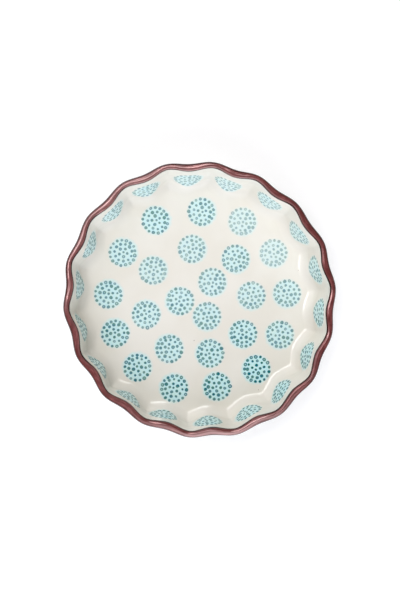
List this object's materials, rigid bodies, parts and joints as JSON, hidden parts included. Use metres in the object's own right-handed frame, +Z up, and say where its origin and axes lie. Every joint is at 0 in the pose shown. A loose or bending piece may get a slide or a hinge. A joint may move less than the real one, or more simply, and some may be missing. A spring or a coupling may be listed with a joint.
{
  "type": "fluted tart dish",
  "caption": "Round shallow baking dish of glazed stoneware with fluted, outward-leaning walls, a rolled coloured rim and a foot ring, for tarts and quiches.",
  "frame": {"origin": "on the dish's axis, in the plane that the foot ring stands on", "axes": "+Z up, out of the open side. +X and +Y are the picture's right and up; the first outward flute crest is 4.8 degrees from +X towards +Y"},
  "size_m": [0.2602, 0.2626, 0.05],
  "materials": {
    "bare_clay": "matte, fired stoneware clay, unglazed",
    "stamped_cream_glaze": "gloss, cream, with round stamped discs of blue-green dots under the glaze",
    "red_brown_glaze": "gloss, red-brown, brushed on",
    "cream_glaze": "gloss, cream"
  },
  "bodies": {
    "root": {"stoneware_body": "bare_clay", "inner_glaze": "stamped_cream_glaze", "rim_glaze": "red_brown_glaze", "outer_glaze": "cream_glaze", "base_glaze": "cream_glaze"}
  },
  "joints": []
}
